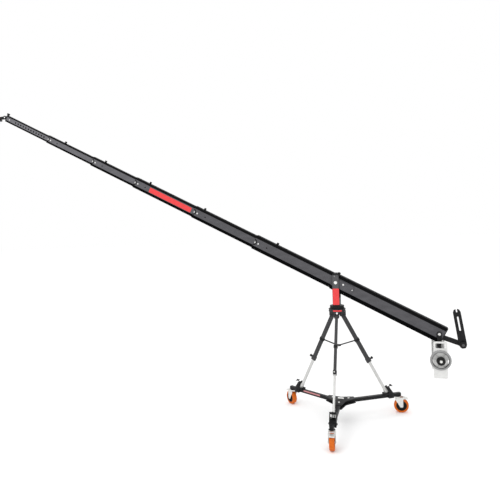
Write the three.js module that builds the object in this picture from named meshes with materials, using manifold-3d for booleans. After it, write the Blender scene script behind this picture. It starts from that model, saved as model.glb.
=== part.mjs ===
// Telescopic camera jib crane on a tripod with a three-wheel dolly.
// Millimetres, +Z up. The boom lies in the XZ plane, its tip towards -X and its weights towards +X.
import * as THREE from 'three';
import { mergeVertices } from 'three/addons/utils/BufferGeometryUtils.js';
import Module from 'manifold-3d';

const wasm = await Module();
wasm.setup();

// Fits and roundness
const gap = 0.3;
const overrun = 2;
const pressRoom = 1;
const bite = 1.5;
const coarseSides = 8;
const notchSides = 12;
const roundSides = 16;
const fineSides = 24;
const nutSides = 6;
const cornerSteps = 1;
const arcSteps = 4;

// Boom: seven nested beams, listed from the main beam to the last one
const boomTilt = THREE.MathUtils.degToRad(27.4);
const pivotHeight = 1420;
const mainWidth = 90;
const mainHeight = 165;
const mainFront = 35;
const mainRear = 1119;
const sectionHeights = [152, 134, 122, 108, 94, 81];
const sectionReaches = [944, 1708, 2510, 3126, 3809, 4474];
const nestedLength = 360;
const webRecess = 1.2;
const sideWall = 2.2;
const sideClearance = 1.4;
const capWall = 3;
const cornerRadius = 7;
const shoulderShare = 0.22;
const guideLength = 60;
const notchRadius = 23;

// Row of stop holes along the last beam
const stopHoleCount = 12;
const stopHoleRadius = 4.5;
const stopHoleStart = 150;
const stopHolePitch = 41.5;

// Lock knobs on the top of each outer beam
const lockSetbacks = [25, 235, 105, 180, 165, 250];
const lockStemRadius = 5;
const lockKnobRadius = 13;
const lockKnobHeight = 15;
const lockNeckHeight = 5;
const lockNeckRadius = 8;
const knobLobes = 6;
const lobeDepthShare = 0.12;
const lobePoints = 3;

// Trunnion plates on the sides of the main beam
const trunnionLength = 220;
const trunnionHeight = 80;
const trunnionThickness = 8;
const trunnionRadius = 17;

// Yoke
const yokeWidth = 68;
const yokeRise = 90;
const yokeDrop = 235;
const yokeThickness = 10;
const yokeClearance = 1;
const yokeBaseHeight = 16;
const yokeWebThickness = 8;
const yokeWebHeight = 80;
const yokeCornerRadius = 14;
const yokeHoleRadius = 7;
const yokeHoleDrop = 62;

// Pan base and crown
const panRadius = 72;
const panHeight = 31;
const panGrooveDepth = 4;
const panGrooveHeight = 5;
const panSpigotRadius = 20;
const panSpigotHeight = 10;
const crownRadius = 86;
const crownThickness = 30;
const crownBandDepth = 3;
const crownBandHeight = 16;
const earThickness = 8;
const earInner = 30;
const earOuter = 84;
const hingePinRadius = 6;
const hingePinReach = 60;
const hingePinDrop = 74;
const earSkirt = 18;

// Tripod legs
const legCount = 3;
const legFootReach = 500;
const legFootHeight = 262;
const upperLegDepth = 44;
const upperLegWidth = 28;
const upperLegCorner = 9;
const upperLegWall = 2.5;
const upperLegLength = 583;
const lowerLegDepth = 31;
const lowerLegWidth = 20;
const lowerLegCorner = 6;
const lowerLegWall = 2;
const lowerLegNested = 300;
const legSliderLength = 25;
const legClampWall = 3.5;
const legClampLength = 46;
const legBossRadius = 10;
const legBossReach = 33;
const legStemRadius = 5;
const legKnobRadius = 15;
const legKnobHeight = 16;
const footRadius = 20;
const footLength = 42;
const footSink = 40;

// Mid-level spreader
const spreaderShare = 0.526;
const spreaderHubRadius = 28;
const spreaderHubHeight = 12;
const spreaderHubDrop = 35;
const spreaderBarWidth = 14;
const spreaderBarHeight = 9;
const spreaderRingWall = 5.5;
const spreaderRingLength = 24;

// Dolly frame
const armReach = 677;
const armSize = 35;
const armHeight = 190;
const armStart = 30;
const hubPlateThickness = 8;
const hubPlateReach = 160;
const hubPlateTipWidth = 60;
const hubPlateWaist = 74;
const hubSlotLength = 62;
const hubSlotWidth = 15;
const hubSlotOffset = 26;
const casterSetback = 34;
const casterReach = armReach - casterSetback;
const casterBossRadius = 30;
const casterBossHeight = 8;

// Foot clamps on the dolly arms
const clampSpacing = 81;
const clampReach = casterReach - clampSpacing;
const clampLength = 56;
const clampSide = 6;
const clampCheekThickness = 6;
const clampCheekInner = 27;
const clampHeadRadius = 13;
const clampSeatRise = 8;
const clampSeatLength = 46;
const clampBarAt = 36;
const clampBarThickness = 14;
const clampBarHeight = 20;
const clampBoltRadius = 7;
const clampBoltReach = 42;
const leverPressHeight = -4;
const leverStemRadius = 5;
const leverLength = 86;
const leverBarRadius = 4.5;
const leverBarLength = 62;
const leverHubRadius = 9;
const leverHubLength = 16;

// Casters
const wheelRadius = 75;
const tyreWidth = 48;
const tyreInner = 54;
const tyreCrown = 6;
const rimWidth = 42;
const rimWebThickness = 12;
const rimHubRadius = 20;
const rimLip = 8;
const axleRadius = 6;
const axleNutRadius = 10;
const axleNutLength = 5;
const forkTrail = 40;
const forkCrownThickness = 8;
const forkCrownRadius = 29;
const forkCheekThickness = 4.5;
const forkCheekClearance = 3.5;
const forkEndRadius = 15;
const forkHeadings = [-85, 5, 135];
const brakePivotTrail = 66;
const brakePivotRadius = 6.5;
const brakePinRadius = 3;
const brakeLugRadius = 9;
const brakeReach = 34;
const brakeThickness = 5;
const brakeDroop = 6;
const brakeShoeStart = 14;
const brakeShoeLength = 10;
const brakeShoeDrop = 11;
const brakeLipDrop = 7;

// Weight hanger on the rear of the boom
const hangerSetback = 42;
const hangerAt = mainRear - hangerSetback;
const axleBoltRadius = 10;
const axleHeadRadius = 17;
const axleHeadThickness = 9;
const clevisThickness = 6;
const clevisClearance = 1;
const clevisRadius = 24;
const crossbarDrop = 147;
const crossbarSize = 24;
const hangerPlateWidth = 122;
const hangerPlateTop = 50;
const hangerPlateHeight = 347;
const hangerPlateThickness = 6;
const hangerPlateSpan = 276;
const hangerCornerRadius = 14;
const hangerSlotWidth = 86;
const hangerSlotHeight = 46;
const hangerSlotDrop = 17;
const hangerSlotRadius = 9;
const rodDrop = 222;
const rodRadius = 12.5;
const rodFarOverhang = 30;
const rodNutRadius = 26;
const rodNutLength = 16;
const discCount = 3;
const gripHoleCount = 3;
const discRadius = 60;
const discThickness = 82;
const discBevel = 5;
const gripDiscRadius = 94;
const gripDiscThickness = 22;
const gripDiscRimWidth = 17;
const gripDiscRecess = 6;
const gripDiscHubRadius = 34;
const gripInnerRadius = 41;
const gripOuterRadius = 72;
const gripHalfAngle = THREE.MathUtils.degToRad(35);
const collarRadius = 40;
const collarLength = 30;
const collarLobes = 8;
const collarLobeShare = 0.08;
const rodNearOverhang = 12;

// Rear bar and monitor bracket
const rearPlugLength = 22;
const rearCapThickness = 8;
const rearBarLength = 191;
const rearBarHeight = 44;
const rearBarThickness = 30;
const rearBarLift = -22;
const rearBarAngle = THREE.MathUtils.degToRad(8);
const bracketLean = THREE.MathUtils.degToRad(9);
const bracketHeight = 345;
const bracketTopWidth = 68;
const bracketFootWidth = 72;
const bracketThickness = 9;
const bracketSlotWidth = 14;
const bracketSlotStart = 133;
const bracketSlotEnd = 270;
const bracketNotchWidth = 12;
const bracketNotchDepth = 34;
const bracketBoltRadius = 7;
const bracketKnobRadius = 33;
const bracketKnobHeight = 24;

// Tip cap, arm and head plate
const tipPlugLength = 20;
const tipCapThickness = 10;
const tipLugLength = 46;
const tipLugThickness = 10;
const tipLugRadius = 22;
const tipArmLength = 120;
const tipArmHeight = 36;
const tipArmBoltRadius = 6;
const tipKnobRadius = 17;
const tipKnobHeight = 18;
const headPlateRadius = 50;
const headPlateThickness = 10;
const headPlateBore = 5;

const materials = {
  blackBeam: { color: 0x2b2b2e, roughness: 0.45, metalness: 0.6 },
  blackPaint: { color: 0x161617, roughness: 0.5, metalness: 0.3 },
  greySteel: { color: 0x4a4a4d, roughness: 0.5, metalness: 0.6 },
  silver: { color: 0xd8d6d2, roughness: 0.35, metalness: 0.8 },
  paleSilver: { color: 0xe9e7e3, roughness: 0.4, metalness: 0.5 },
  iron: { color: 0x8f8d8c, roughness: 0.55, metalness: 0.5 },
  blackPlastic: { color: 0x121213, roughness: 0.6, metalness: 0 },
  orangeTyre: { color: 0xf07818, roughness: 0.5, metalness: 0 },
  redPlastic: { color: 0xa01c1c, roughness: 0.5, metalness: 0 },
};

// Solids and their joins
function toSolid(geometry) {
  const bare = new THREE.BufferGeometry();
  bare.setAttribute('position', geometry.getAttribute('position'));
  if (geometry.index) bare.setIndex(geometry.index);
  const merged = mergeVertices(bare);
  return new wasm.Manifold(new wasm.Mesh({
    numProp: 3,
    vertProperties: new Float32Array(merged.getAttribute('position').array),
    triVerts: new Uint32Array(merged.index.array),
  }));
}

function toGeometry(body) {
  const mesh = body.getMesh();
  const geometry = new THREE.BufferGeometry();
  geometry.setAttribute('position', new THREE.BufferAttribute(mesh.vertProperties, 3));
  geometry.setIndex(new THREE.BufferAttribute(mesh.triVerts, 1));
  return geometry;
}

function join(...geometries) {
  const [first, ...rest] = geometries.map(toSolid);
  return toGeometry(rest.reduce((whole, piece) => whole.add(piece), first));
}

function cut(geometry, ...tools) {
  return toGeometry(tools.map(toSolid).reduce((whole, tool) => whole.subtract(tool), toSolid(geometry)));
}

// Shapes
function box(lengthX, lengthY, lengthZ, x, y, z) {
  return new THREE.BoxGeometry(lengthX, lengthY, lengthZ).translate(x, y, z);
}

function cylinderZ(radius, bottom, top, sides = roundSides) {
  const geometry = new THREE.CylinderGeometry(radius, radius, top - bottom, sides);
  return geometry.rotateX(Math.PI / 2).translate(0, 0, (top + bottom) / 2);
}

function cylinderY(radius, near, far, sides = roundSides) {
  const geometry = new THREE.CylinderGeometry(radius, radius, far - near, sides);
  return geometry.translate(0, (far + near) / 2, 0);
}

// Bores are drawn round the piece that they take, so that their flats stay a gap away from it
function boreRadius(radius, sides) {
  return (radius + gap) / Math.cos(Math.PI / sides);
}

function boreZ(radius, bottom, top, sides = roundSides) {
  return cylinderZ(boreRadius(radius, sides), bottom, top, sides);
}

function boreY(radius, near, far, sides = roundSides) {
  return cylinderY(boreRadius(radius, sides), near, far, sides);
}

// A turned form whose axis is Y, its profile given from the near end to the far end
function turnedY(points, sides) {
  return new THREE.LatheGeometry(points.map(([radius, place]) => new THREE.Vector2(radius, place)), sides);
}

// A turned form whose axis is Z, its profile given from the bottom up
function turned(points, sides) {
  return turnedY(points, sides).rotateX(Math.PI / 2);
}

function roundedRectangle(width, height, radius, x = 0, y = 0) {
  const right = x + width / 2;
  const left = x - width / 2;
  const top = y + height / 2;
  const bottom = y - height / 2;
  const path = new THREE.Shape();
  path.moveTo(left + radius, bottom);
  path.lineTo(right - radius, bottom);
  path.absarc(right - radius, bottom + radius, radius, -Math.PI / 2, 0, false);
  path.lineTo(right, top - radius);
  path.absarc(right - radius, top - radius, radius, 0, Math.PI / 2, false);
  path.lineTo(left + radius, top);
  path.absarc(left + radius, top - radius, radius, Math.PI / 2, Math.PI, false);
  path.lineTo(left, bottom + radius);
  path.absarc(left + radius, bottom + radius, radius, Math.PI, Math.PI * 3 / 2, false);
  return path;
}

function discPath(radius, x = 0, y = 0, sides = notchSides) {
  const points = [];
  for (let i = 0; i < sides; i++) {
    const angle = i / sides * Math.PI * 2;
    points.push([x + radius * Math.cos(angle), y + radius * Math.sin(angle)]);
  }
  return polygon(points);
}

function borePath(radius, x = 0, y = 0) {
  return discPath(boreRadius(radius, notchSides), x, y);
}

// A rectangle whose corners are cut off straight
function chamferedRectangle(width, height, corner) {
  const side = width / 2;
  const top = height / 2;
  return polygon([
    [-side + corner, -top], [side - corner, -top], [side, -top + corner], [side, top - corner],
    [side - corner, top], [-side + corner, top], [-side, top - corner], [-side, -top + corner],
  ]);
}

function polygon(points) {
  return new THREE.Shape(points.map(([x, y]) => new THREE.Vector2(x, y)));
}

function extrude(shape, depth, steps = cornerSteps) {
  return new THREE.ExtrudeGeometry(shape, { depth, bevelEnabled: false, curveSegments: steps });
}

// A section drawn in YZ and run along X from one place to another
function runX(shape, from, to, steps = cornerSteps) {
  const basis = new THREE.Matrix4().makeBasis(
    new THREE.Vector3(0, 1, 0), new THREE.Vector3(0, 0, 1), new THREE.Vector3(1, 0, 0));
  return extrude(shape, to - from, steps).applyMatrix4(basis).translate(from, 0, 0);
}

// A rounded section run along Z from one height to another
function runZ(depth, width, corner, bottom, top) {
  return extrude(roundedRectangle(depth, width, corner), top - bottom).translate(0, 0, bottom);
}

// A plate drawn in XZ with its faces at two places along Y
function plateY(shape, near, far, steps = arcSteps) {
  const basis = new THREE.Matrix4().makeBasis(
    new THREE.Vector3(1, 0, 0), new THREE.Vector3(0, 0, 1), new THREE.Vector3(0, -1, 0));
  return extrude(shape, far - near, steps).applyMatrix4(basis).translate(0, far, 0);
}

// Two plates with the same outline, as far to the near side as to the far side
function platePair(shape, inner, outer, steps = arcSteps) {
  return [plateY(shape, inner, outer, steps), plateY(shape, -outer, -inner, steps)];
}

// A grip outline whose rim swells into lobes
function lobedShape(radius, lobes, depthShare) {
  const points = [];
  const count = lobes * lobePoints;
  for (let i = 0; i < count; i++) {
    const angle = i / count * Math.PI * 2;
    const reach = radius * (1 - depthShare * (1 - Math.cos(angle * lobes)) / 2);
    points.push([reach * Math.cos(angle), reach * Math.sin(angle)]);
  }
  return polygon(points);
}

// A hand knob standing on its neck, its stem reaching down from zero
function knob(radius, height, neckRadius, neckHeight, stemRadius, stemLength) {
  const cap = extrude(lobedShape(radius, knobLobes, lobeDepthShare), height).translate(0, 0, neckHeight);
  const neck = cylinderZ(neckRadius, 0, neckHeight + bite, coarseSides);
  const stem = cylinderZ(stemRadius, -stemLength, bite, coarseSides);
  return join(cap, neck, stem);
}

// The beams as sizes: front and rear are places along the boom, the rear positive
function beamList() {
  const step = (webRecess + sideWall + sideClearance) * 2;
  const beams = [{ width: mainWidth, height: mainHeight, front: -mainFront, rear: mainRear }];
  sectionHeights.forEach((height, i) => {
    const outer = beams[i];
    beams.push({
      width: outer.width - step,
      height,
      front: -sectionReaches[i],
      rear: outer.front + nestedLength,
    });
  });
  return beams;
}

const beams = beamList();

function cavityOf(beam) {
  return {
    width: beam.width - (webRecess + sideWall) * 2,
    height: beam.height - capWall * 2,
    radius: cornerRadius - capWall,
  };
}

// The outline of a beam: rounded corners, shoulders and a web set back between them
function beamShape(beam) {
  const side = beam.width / 2;
  const top = beam.height / 2;
  const web = side - webRecess;
  const shoulder = top - beam.height * shoulderShare;
  const slope = shoulder - webRecess;
  const shape = new THREE.Shape();
  shape.moveTo(-side + cornerRadius, -top);
  shape.lineTo(side - cornerRadius, -top);
  shape.absarc(side - cornerRadius, -top + cornerRadius, cornerRadius, -Math.PI / 2, 0, false);
  shape.lineTo(side, -shoulder);
  shape.lineTo(web, -slope);
  shape.lineTo(web, slope);
  shape.lineTo(side, shoulder);
  shape.lineTo(side, top - cornerRadius);
  shape.absarc(side - cornerRadius, top - cornerRadius, cornerRadius, 0, Math.PI / 2, false);
  shape.lineTo(-side + cornerRadius, top);
  shape.absarc(-side + cornerRadius, top - cornerRadius, cornerRadius, Math.PI / 2, Math.PI, false);
  shape.lineTo(-side, shoulder);
  shape.lineTo(-web, slope);
  shape.lineTo(-web, -slope);
  shape.lineTo(-side, -shoulder);
  shape.lineTo(-side, -top + cornerRadius);
  shape.absarc(-side + cornerRadius, -top + cornerRadius, cornerRadius, Math.PI, Math.PI * 3 / 2, false);
  return shape;
}

// The hollow beam, open from end to end
function beamShell(beam) {
  const shape = beamShape(beam);
  const cavity = cavityOf(beam);
  shape.holes.push(chamferedRectangle(cavity.width, cavity.height, cavity.radius));
  return runX(shape, beam.front, beam.rear);
}

// The guide in the mouth of a beam that the next beam slides through
function mouthGuide(beam, inner) {
  const shape = beamShape(beam);
  shape.holes.push(roundedRectangle(inner.width + gap * 2, inner.height + gap * 2, cornerRadius + gap));
  return runX(shape, beam.front, beam.front + guideLength);
}

// The slider on the tail of a beam that runs inside the beam outside it
function tailSlider(beam, outer) {
  const room = cavityOf(outer);
  const cavity = cavityOf(beam);
  const shape = chamferedRectangle(room.width - gap * 2, room.height - gap * 2, room.radius);
  shape.holes.push(chamferedRectangle(cavity.width, cavity.height, cavity.radius));
  return runX(shape, beam.rear - guideLength, beam.rear);
}

function mouthNotch(beam) {
  const half = beam.width / 2 + overrun;
  return cylinderY(Math.min(notchRadius, beam.height / 4), -half, half, notchSides)
    .translate(beam.front, 0, 0);
}

function lockHole(beam, i) {
  const bottom = beam.height / 4;
  const top = beam.height / 2 + overrun;
  const hole = boreZ(lockStemRadius, bottom, top, coarseSides);
  return hole.translate(beam.front + lockSetbacks[i], 0, 0);
}

function outerBeam(i, ...fittings) {
  const beam = beams[i];
  const shell = join(beamShell(beam), mouthGuide(beam, beams[i + 1]), ...fittings);
  return cut(shell, mouthNotch(beam), lockHole(beam, i));
}

// A plate with a journal, for the near side or the far side of the main beam
function trunnion(side) {
  const root = mainWidth / 2 - webRecess - bite;
  const face = mainWidth / 2 + trunnionThickness;
  const end = face + yokeClearance + yokeThickness;
  const shape = roundedRectangle(
    trunnionLength, trunnionHeight, trunnionRadius, trunnionLength / 2 - mainFront, 0);
  const plate = side > 0 ? plateY(shape, root, face, cornerSteps) : plateY(shape, -face, -root, cornerSteps);
  const journal = side > 0
    ? cylinderY(trunnionRadius, face - bite, end)
    : cylinderY(trunnionRadius, -end, -face + bite);
  return [plate, journal];
}

// The bolt across the tail of the main beam that the weight hanger swings on
function hangerAxle() {
  const reach = mainWidth / 2 + clevisClearance + clevisThickness + gap;
  const shaft = cylinderY(axleBoltRadius, -reach - bite, reach + bite);
  const headNear = cylinderY(axleHeadRadius, -reach - axleHeadThickness, -reach);
  const headFar = cylinderY(axleHeadRadius, reach, reach + axleHeadThickness);
  return [shaft, headNear, headFar].map((piece) => piece.translate(hangerAt, 0, 0));
}

function mainTube() {
  return outerBeam(0, ...trunnion(1), ...trunnion(-1), ...hangerAxle());
}

function boomSection(i) {
  const slider = tailSlider(beams[i], beams[i - 1]);
  if (i < beams.length - 1) return outerBeam(i, slider);
  return cut(join(beamShell(beams[i]), slider), ...stopHoles());
}

function stopHoles() {
  const beam = beams[beams.length - 1];
  const half = beam.width / 2 + overrun;
  return Array.from({ length: stopHoleCount }, (_, k) => (
    cylinderY(stopHoleRadius, -half, half, nutSides)
      .translate(beam.front + stopHoleStart + k * stopHolePitch, 0, 0)));
}

function lockKnob(i) {
  const stem = (beams[i].height - beams[i + 1].height) / 2 - gap;
  return knob(lockKnobRadius, lockKnobHeight, lockNeckRadius, lockNeckHeight, lockStemRadius, stem)
    .translate(0, 0, gap);
}

// The cap that closes the tail of the main beam, with the bar behind it
function rearBar() {
  const main = beams[0];
  const cavity = cavityOf(main);
  const plug = runX(
    chamferedRectangle(cavity.width - gap * 2, cavity.height - gap * 2, cavity.radius),
    mainRear - rearPlugLength, mainRear + bite);
  const cap = runX(
    roundedRectangle(main.width, main.height, cornerRadius),
    mainRear + gap, mainRear + rearCapThickness);
  const shape = roundedRectangle(
    rearBarLength + rearBarHeight / 2, rearBarHeight, rearBarHeight / 2 - bite, rearBarLength / 2, 0);
  const bar = plateY(shape, -rearBarThickness / 2, rearBarThickness / 2, cornerSteps * 2);
  bar.rotateY(-rearBarAngle).translate(mainRear, 0, rearBarLift);
  const bolt = boreY(bracketBoltRadius, -rearBarThickness, rearBarThickness, coarseSides);
  const end = barEnd();
  return cut(join(plug, cap, bar), bolt.translate(end.x, 0, end.z));
}

// The place of the monitor bracket's bolt, along and above the boom's centre line
function barEnd() {
  return new THREE.Vector3(
    mainRear + rearBarLength * Math.cos(rearBarAngle), 0,
    rearBarLift + rearBarLength * Math.sin(rearBarAngle));
}

// A slotted plate that a monitor is bolted to
function monitorBracket() {
  const far = -rearBarThickness / 2 - gap;
  const near = far - bracketThickness;
  const footHalf = bracketFootWidth / 2;
  const topHalf = bracketTopWidth / 2;
  const outline = new THREE.Shape();
  outline.absarc(0, 0, footHalf, Math.PI, 0, false);
  outline.lineTo(topHalf, bracketHeight - topHalf);
  outline.absarc(0, bracketHeight - topHalf, topHalf, 0, Math.PI, false);
  const slot = roundedRectangle(
    bracketSlotWidth, bracketSlotEnd - bracketSlotStart, bracketSlotWidth / 2 - gap,
    0, (bracketSlotEnd + bracketSlotStart) / 2);
  outline.holes.push(slot, borePath(bracketBoltRadius));
  const notch = box(
    bracketNotchWidth, bracketThickness * 3, bracketNotchDepth * 2, 0, (near + far) / 2, bracketHeight);
  return cut(plateY(outline, near, far, cornerSteps * 2), notch);
}

function monitorKnob() {
  const seat = rearBarThickness / 2 + bracketThickness + gap * 2;
  const cap = extrude(lobedShape(bracketKnobRadius, knobLobes, lobeDepthShare), bracketKnobHeight);
  const stem = cylinderZ(bracketBoltRadius, -seat, bite, coarseSides);
  return join(cap, stem).rotateX(Math.PI / 2).translate(0, -seat, 0);
}

// The cap on the boom's tip, with the two lugs that hold the arm
function tipCap() {
  const last = beams[beams.length - 1];
  const cavity = cavityOf(last);
  const plug = runX(
    chamferedRectangle(cavity.width - gap * 2, cavity.height - gap * 2, cavity.radius),
    last.front - bite, last.front + tipPlugLength);
  const cap = runX(
    roundedRectangle(last.width, last.height, cornerRadius), last.front - tipCapThickness, last.front - gap);
  const lugShape = new THREE.Shape();
  lugShape.moveTo(bite, -tipLugRadius);
  lugShape.lineTo(bite, tipLugRadius);
  lugShape.lineTo(-tipLugLength + tipLugRadius, tipLugRadius);
  lugShape.absarc(-tipLugLength + tipLugRadius, 0, tipLugRadius, Math.PI / 2, Math.PI * 3 / 2, false);
  const outer = last.width / 2;
  const inner = outer - tipLugThickness;
  const lugs = platePair(lugShape, inner, outer);
  lugs.forEach((lug) => lug.translate(last.front - tipCapThickness, 0, 0));
  const pivot = tipPivot();
  const bolt = cylinderY(tipArmBoltRadius, -inner - bite, inner + bite, coarseSides);
  const hole = boreZ(lockStemRadius, 0, last.height, coarseSides);
  return cut(join(plug, cap, ...lugs, bolt.translate(pivot.x, 0, 0)), hole.translate(tipKnobPlace().x, 0, 0));
}

function tipPivot() {
  const last = beams[beams.length - 1];
  return new THREE.Vector3(last.front - tipCapThickness - tipLugLength + tipLugRadius, 0, 0);
}

function tipKnobPlace() {
  const last = beams[beams.length - 1];
  return new THREE.Vector3(last.front - tipCapThickness / 2, 0, last.height / 2);
}

// The arm that stays level at the tip, with the round plate that a head bolts to
function tipArm() {
  const last = beams[beams.length - 1];
  const half = last.width / 2 - tipLugThickness - gap;
  const shape = new THREE.Shape();
  shape.absarc(0, 0, tipArmHeight / 2, -Math.PI / 2, Math.PI / 2, false);
  shape.lineTo(-tipArmLength, tipArmHeight / 2);
  shape.lineTo(-tipArmLength, -tipArmHeight / 2);
  shape.holes.push(borePath(tipArmBoltRadius));
  const bar = plateY(shape, -half, half);
  const top = -tipArmHeight / 2 + bite;
  const plate = cylinderZ(headPlateRadius, top - headPlateThickness, top, fineSides);
  const bore = cylinderZ(headPlateBore, top - headPlateThickness - overrun, tipArmHeight, coarseSides);
  return cut(join(bar, plate.translate(-tipArmLength, 0, 0)), bore.translate(-tipArmLength, 0, 0));
}

function tipKnob() {
  const last = beams[beams.length - 1];
  return knob(
    tipKnobRadius, tipKnobHeight, lockNeckRadius, lockNeckHeight, lockStemRadius, last.height / 4)
    .translate(0, 0, gap);
}

// Weight hanger
function hangerClevis() {
  const inner = mainWidth / 2 + clevisClearance;
  const outer = inner + clevisThickness;
  const shape = new THREE.Shape();
  shape.absarc(0, 0, clevisRadius, 0, Math.PI, false);
  shape.lineTo(-crossbarSize / 2, -crossbarDrop);
  shape.lineTo(crossbarSize / 2, -crossbarDrop);
  shape.holes.push(borePath(axleBoltRadius));
  const bar = box(crossbarSize, hangerPlateSpan - gap * 2, crossbarSize, 0, 0, -crossbarDrop);
  return join(...platePair(shape, inner, outer), bar);
}

// A tall plate with a hand slot near its top
function hangerPlate(side) {
  const middle = -hangerPlateTop - hangerPlateHeight / 2;
  const shape = roundedRectangle(hangerPlateWidth, hangerPlateHeight, hangerCornerRadius, 0, middle);
  const slotMiddle = -hangerPlateTop - hangerSlotDrop - hangerSlotHeight / 2;
  const slot = roundedRectangle(hangerSlotWidth, hangerSlotHeight, hangerSlotRadius, 0, slotMiddle);
  shape.holes.push(slot, borePath(rodRadius, 0, -rodDrop));
  const inner = hangerPlateSpan / 2;
  const outer = inner + hangerPlateThickness;
  return side > 0
    ? plateY(shape, inner, outer, cornerSteps * 2)
    : plateY(shape, -outer, -inner, cornerSteps * 2);
}

function plateFace() {
  return hangerPlateSpan / 2 + hangerPlateThickness;
}

function weightRod() {
  const nearEnd = plateFace() + gripDiscThickness + collarLength + gap * 3 + rodNearOverhang;
  const farEnd = plateFace() + rodFarOverhang;
  const shaft = cylinderY(rodRadius, -nearEnd, farEnd);
  const nut = cylinderY(rodNutRadius, plateFace() + gap, plateFace() + gap + rodNutLength, nutSides);
  return join(shaft, nut);
}

// The iron discs between the plates stand side by side against the far one
function weightDisc(k) {
  const far = hangerPlateSpan / 2 - gap - k * (discThickness + gap);
  const near = far - discThickness;
  const bore = rodRadius + gap;
  return turnedY([
    [bore, near],
    [discRadius - discBevel, near],
    [discRadius, near + discBevel],
    [discRadius, far - discBevel],
    [discRadius - discBevel, far],
    [bore, far],
    [bore, near],
  ], fineSides);
}

// One of the three hand holes of the outer disc
function gripHole(angle) {
  const shape = new THREE.Shape();
  shape.absarc(0, 0, gripOuterRadius, angle - gripHalfAngle, angle + gripHalfAngle, false);
  shape.absarc(0, 0, gripInnerRadius, angle + gripHalfAngle, angle - gripHalfAngle, true);
  return shape;
}

function gripDisc() {
  const near = -gripDiscThickness;
  const recess = gripDiscRecess;
  const bore = rodRadius + gap;
  const rimInner = gripDiscRadius - gripDiscRimWidth;
  const body = turnedY([
    [bore, near],
    [gripDiscHubRadius, near],
    [gripDiscHubRadius + recess / 2, near + recess],
    [rimInner - recess / 2, near + recess],
    [rimInner, near],
    [gripDiscRadius - recess, near],
    [gripDiscRadius, near + recess],
    [gripDiscRadius, -recess],
    [gripDiscRadius - recess, 0],
    [bore, 0],
    [bore, near],
  ], fineSides);
  const holes = Array.from({ length: gripHoleCount }, (_, k) => (
    plateY(gripHole(Math.PI / 2 + k * Math.PI * 2 / gripHoleCount), near - overrun, overrun)));
  return cut(body, ...holes).translate(0, -plateFace() - gap, -rodDrop);
}

function rodCollar() {
  const near = -plateFace() - gripDiscThickness - gap * 2 - collarLength;
  const shape = lobedShape(collarRadius, collarLobes, collarLobeShare);
  shape.holes.push(borePath(rodRadius));
  return plateY(shape, near, near + collarLength).translate(0, 0, -rodDrop);
}

// Yoke: two cheeks, a web between them and a base that turns on the pan base
function yoke() {
  const inner = mainWidth / 2 + trunnionThickness + yokeClearance;
  const outer = inner + yokeThickness;
  const middle = (yokeRise - yokeDrop) / 2;
  const shape = roundedRectangle(yokeWidth, yokeRise + yokeDrop, yokeCornerRadius, 0, middle);
  shape.holes.push(borePath(trunnionRadius), discPath(yokeHoleRadius, 0, -yokeHoleDrop));
  const cheeks = platePair(shape, inner, outer, cornerSteps * 2);
  const base = box(yokeWidth, outer * 2, yokeBaseHeight, 0, 0, -yokeDrop + yokeBaseHeight / 2);
  const web = box(
    yokeWebThickness, outer * 2 - yokeThickness, yokeWebHeight,
    (yokeWidth - yokeWebThickness) / 2, 0, -yokeDrop + yokeWebHeight / 2);
  const bore = boreZ(panSpigotRadius, -yokeDrop - overrun, -yokeDrop + panSpigotHeight + gap);
  return cut(join(...cheeks, base, web), bore);
}

function panTop() {
  return pivotHeight - yokeDrop - gap;
}

function crownTop() {
  return panTop() - panHeight;
}

function panBase() {
  const top = panTop();
  const bottom = crownTop() + gap;
  const waist = (top + bottom) / 2;
  const groove = panGrooveHeight / 2;
  return turned([
    [0, bottom],
    [panRadius - panGrooveDepth, bottom],
    [panRadius, bottom + panGrooveDepth],
    [panRadius, waist - groove],
    [panRadius - panGrooveDepth, waist - groove],
    [panRadius - panGrooveDepth, waist + groove],
    [panRadius, waist + groove],
    [panRadius, top],
    [panSpigotRadius, top],
    [panSpigotRadius, top + panSpigotHeight],
    [0, top + panSpigotHeight],
  ], fineSides);
}

// The hinge pin of a leg, as reach from the axis and height
function legHinge() {
  return { reach: hingePinReach, height: crownTop() - hingePinDrop };
}

function crown() {
  const top = crownTop();
  const bottom = top - crownThickness;
  const bandTop = (top + bottom + crownBandHeight) / 2;
  const bandBottom = bandTop - crownBandHeight;
  const disc = turned([
    [0, bottom],
    [crownRadius - crownBandDepth, bottom],
    [crownRadius, bottom + crownBandDepth],
    [crownRadius, bandBottom],
    [crownRadius - crownBandDepth, bandBottom],
    [crownRadius - crownBandDepth, bandTop],
    [crownRadius, bandTop],
    [crownRadius, top - crownBandDepth],
    [crownRadius - crownBandDepth, top],
    [0, top],
  ], fineSides);
  const ears = [];
  for (let k = 0; k < legCount; k++) ears.push(...crownEars().map((ear) => ear.rotateZ(legAngle(k))));
  return join(disc, ...ears);
}

// A pair of ears and the pin between them, for a leg that points along X
function crownEars() {
  const hinge = legHinge();
  const top = crownTop() - crownThickness + bite;
  const shape = polygon([
    [earInner, top],
    [earInner, hinge.height],
    [hinge.reach - earSkirt, hinge.height - earSkirt],
    [hinge.reach + earSkirt, hinge.height - earSkirt],
    [earOuter, hinge.height],
    [earOuter, top],
  ]);
  const inner = upperLegWidth / 2 + gap;
  const outer = inner + earThickness;
  const pin = cylinderY(hingePinRadius, -inner - bite, inner + bite, coarseSides);
  return [...platePair(shape, inner, outer), pin.translate(hinge.reach, 0, hinge.height)];
}

function legAngle(k) {
  return -Math.PI / 2 + k * Math.PI * 2 / legCount;
}

// The angle of a leg's axis from straight down
function legSplay() {
  const hinge = legHinge();
  return Math.atan2(legFootReach - hinge.reach, hinge.height - legFootHeight);
}

function legSpan() {
  const hinge = legHinge();
  return Math.hypot(legFootReach - hinge.reach, hinge.height - legFootHeight);
}

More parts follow.
